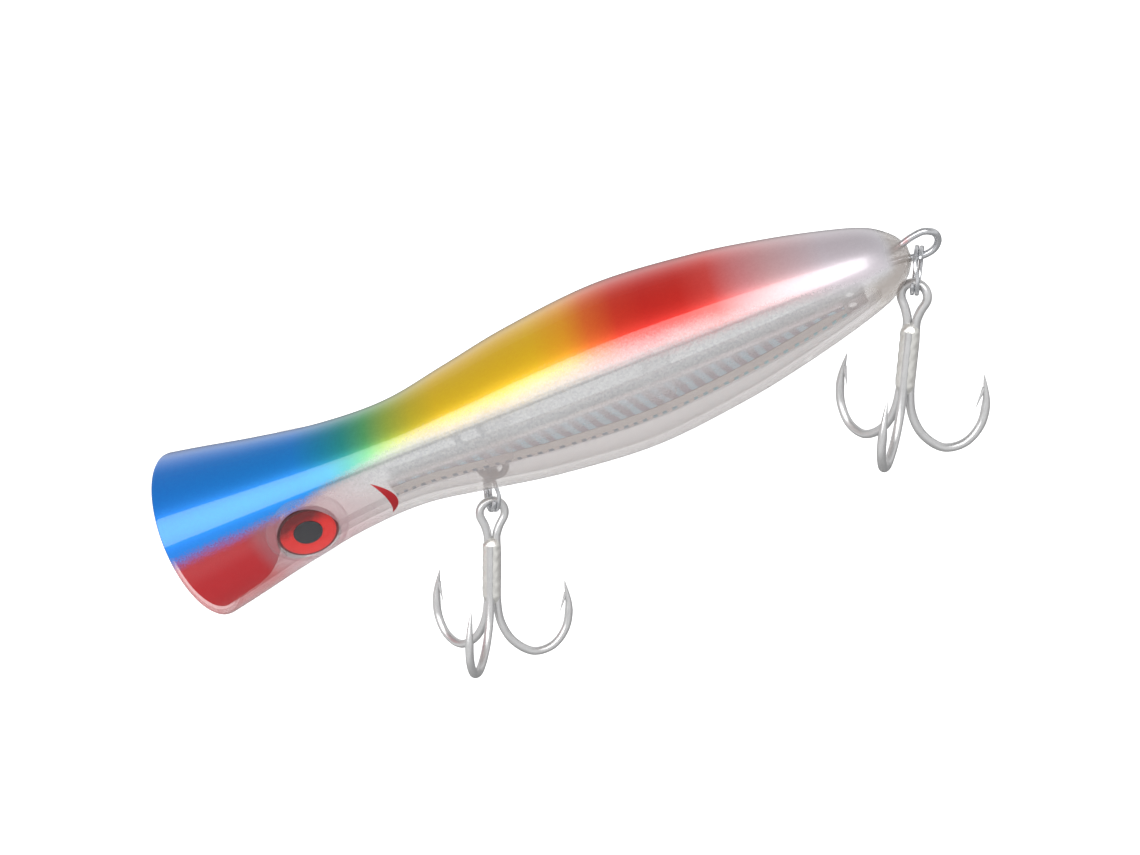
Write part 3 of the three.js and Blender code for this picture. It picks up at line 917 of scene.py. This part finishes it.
def split_ring():
    """Flattened wire in two coils with one jog, ends rounded."""
    rings = []
    for i in range(RING_ROWS + 1):
        angle = RING_TURNS * i / RING_ROWS
        t = max(0.0, min(1.0, (angle - RING_JOG[0]) / (RING_JOG[1] - RING_JOG[0])))
        x = RING_PITCH * (t * t * (3 - 2 * t) - 0.5)
        a = math.radians(angle + RING_START)
        out = Vector((0, math.cos(a), math.sin(a)))
        squeeze = min(1.0, 0.45 + 0.2 * min(i, RING_ROWS - i))
        rings.append([Vector((x + squared(math.cos(turn)) * RING_COIL / 2 * squeeze, 0, 0))
                      + out * (RING_MEAN_R + squared(math.sin(turn)) * RING_RADIAL / 2 * squeeze)
                      for turn in circle(RING_SIDES)])
    return loft(rings)


def hook_leg(azimuth, start):
    """One hook: shank, round bend, and a point that narrows to its tip."""
    path = [polar(azimuth, r, depth) for r, depth in HOOK_PATH]
    line = even(centripetal(start + path), 0.4)
    left = 0.0
    radii = [0.0] * len(line)
    for i in range(len(line) - 1, -1, -1):
        if i < len(line) - 1:
            left += (line[i + 1] - line[i]).length
        share = min(1.0, left / POINT_LENGTH)
        radii[i] = HOOK_R * (0.03 + 0.97 * share ** 0.75)
    return sweep(line, radii)


def barb(azimuth):
    """Cut sliver that lifts off the inside of the point."""
    line = even(centripetal([polar(azimuth, r, depth) for r, depth in BARB_PATH]), BARB_STEP)
    radii = [max(BARB_TIP_R, BARB_R * (1 - i / 18)) for i in range(len(line))]
    return sweep(line, radii, BARB_SIDES)


def hook_pair(eye_turn):
    """Eye loop in an upright plane through the shank, legs running down to two hooks."""
    spin = Matrix.Rotation(math.radians(eye_turn), 3, "Z")
    loop = []
    for i in range(41):
        a = math.radians(HOOK_EYE_START + HOOK_EYE_SPAN * i / 40)
        loop.append(spin @ Vector((HOOK_EYE_R * math.cos(a), 0, HOOK_EYE_R * math.sin(a))))
    legs = [[spin @ Vector((hand * NECK_HALF, 0, -NECK_DEPTH)), polar(turn + eye_turn, *LEG_TOP)]
            for hand, turn in zip((1, -1), LEG_TURNS)]
    right, left = legs
    eye = even(centripetal([*left[::-1], *loop[::-1], *right], 6), 0.35)
    return merged(sweep(eye, HOOK_R),
                  hook_leg(HOOK_AZIMUTHS[0], right), hook_leg(HOOK_AZIMUTHS[1], left),
                  barb(HOOK_AZIMUTHS[0]), barb(HOOK_AZIMUTHS[1]))


def hook_third():
    azimuth = HOOK_AZIMUTHS[2]
    return merged(hook_leg(azimuth, [polar(azimuth, *THIRD_TOP)]), barb(azimuth))


def braze():
    """Fillet of braze that fills between the three shanks, with an uneven edge."""
    fullest = HOOK_AZIMUTHS[2] - 180
    rings = []
    for i in range(BRAZE_ROWS + 1):
        depth = BRAZE_TOP + BRAZE_LENGTH * i / BRAZE_ROWS
        grow = min(1.0, i / 5, (BRAZE_ROWS - i) / 7)
        r = BRAZE_END_R + BRAZE_FILL * grow ** 0.5
        ring = []
        for k in range(BRAZE_SIDES):
            a = 360 * k / BRAZE_SIDES
            lobe = BRAZE_LOBE * math.cos(math.radians(3 * (a - fullest)))
            ripple = BRAZE_RIPPLE * math.sin(depth * 2.7 + k * 0.7)
            ring.append(polar(a, r + (lobe + ripple) * grow, depth))
        rings.append(ring)
    return loft(rings)


def braze_material():
    m = Shade("braze_fill")
    lump = m.noise(700, 4)
    return m.finish(
        base_color=m.mix(lump, srgb(200, 199, 195), srgb(240, 239, 235)),
        metallic=0.7,
        roughness=m.blend(lump, 0.28, 0.45),
        normal=m.bump(lump, 0.0001, 0.4))


braze_metal = braze_material()
lean = math.radians(HANG["front"]["forward"])
contacts = {
    "front": Vector((HANGER_X - HANGER_R * math.sin(lean), 0, HANGER_Z + HANGER_R * (1 - math.cos(lean)))),
    "rear": TAIL_CONTACT,
}
for name, chain in HANG.items():
    hang = hang_frame(chain)
    ring_centre = contacts[name] + hang[0] * (RING_MEAN_R - WIRE_R - RING_RADIAL / 2 - RING_PLAY)
    eye_centre = ring_centre + hang[0] * (RING_MEAN_R - RING_RADIAL / 2 - HOOK_R - RING_PLAY + HOOK_EYE_R)
    make(f"ring_coils_{name}", split_ring(), [ring_steel], f"ring_{name}", [f"split_ring_{name}"],
         place=turned(hang, chain["ring"], ring_centre))
    place = turned(hang, chain["hook"], eye_centre)
    body = f"treble_{name}"
    make(f"treble_pair_{name}", hook_pair(chain["eye"]), [hook_steel], body, [f"hook_pair_{name}"],
         place=place)
    make(f"treble_third_{name}", hook_third(), [hook_steel], body, [f"hook_third_{name}"],
         place=place)
    make(f"treble_braze_{name}", braze(), [braze_metal], body, [f"hook_braze_{name}"],
         place=place)


# ---- floor, light and camera ---------------------------------------------------------------------------
def floor_material():
    m = Shade("pale_floor")
    return m.finish(
        base_color=m.mix(m.noise(3), (0.86, 0.86, 0.86), (0.88, 0.88, 0.88)),
        roughness=0.9,
        emission_color=(1, 1, 1),
        emission_strength=FLOOR_GLOW)


corners = [(x * FLOOR_HALF, y * FLOOR_HALF, FLOOR_Z) for x, y in ((-1, -1), (1, -1), (1, 1), (-1, 1))]
mesh = bpy.data.meshes.new("floor")
mesh.from_pydata(corners, [], [(0, 1, 2, 3)])
mesh.materials.append(floor_material())
floor = bpy.data.objects.new("floor", mesh)
bpy.context.scene.collection.objects.link(floor)
floor.visible_glossy = False

world = bpy.data.worlds.new("studio")
bpy.context.scene.world = world
world.use_nodes = True
# soft room: light walls at the level of the lure, darker above and below
sky = world.node_tree.nodes
wires = world.node_tree.links
level = sky.new("ShaderNodeSeparateXYZ")
tone = sky.new("ShaderNodeValToRGB")
height = sky.new("ShaderNodeMapRange")
height.inputs["From Min"].default_value = -1
wires.new(sky.new("ShaderNodeTexCoord").outputs["Generated"], level.inputs[0])
wires.new(level.outputs["Z"], height.inputs[0])
wires.new(height.outputs[0], tone.inputs[0])
wires.new(tone.outputs[0], sky["Background"].inputs["Color"])
set_stops(tone.color_ramp, ROOM_LEVELS)


def softbox(name, elevation, distance, length, width, power):
    """Area light on the left of the lure; elevation is the angle up from the left side."""
    light = bpy.data.lights.new(name, "AREA")
    light.shape = "RECTANGLE"
    light.size, light.size_y = length, width
    light.energy = power
    lamp = bpy.data.objects.new(name, light)
    e = math.radians(elevation)
    lamp.location = LIGHT_AIM + Vector((0, -math.cos(e), math.sin(e))) * distance
    lamp.rotation_mode = "QUATERNION"
    lamp.rotation_quaternion = (LIGHT_AIM - lamp.location).to_track_quat("-Z", "Y")
    lamp.visible_camera = False
    bpy.context.scene.collection.objects.link(lamp)


softbox("key", elevation=60, distance=0.62, length=1.1, width=0.4, power=4.4)

camera = bpy.data.objects.new("camera", bpy.data.cameras.new("camera"))
right = CAMERA_RIGHT.normalized()
back = CAMERA_BACK.normalized()
up = back.cross(right).normalized()
turn = Matrix((right, up, back)).transposed().to_4x4()
camera.matrix_world = Matrix.Translation(CAMERA_PLACE) @ turn
camera.data.sensor_width = CAMERA_SENSOR
camera.data.lens = CAMERA_LENS
bpy.context.scene.collection.objects.link(camera)
bpy.context.scene.camera = camera
bpy.context.scene.view_settings.view_transform = "Standard"
bpy.context.scene.cycles.transparent_max_bounces = CLEAR_LAYERS
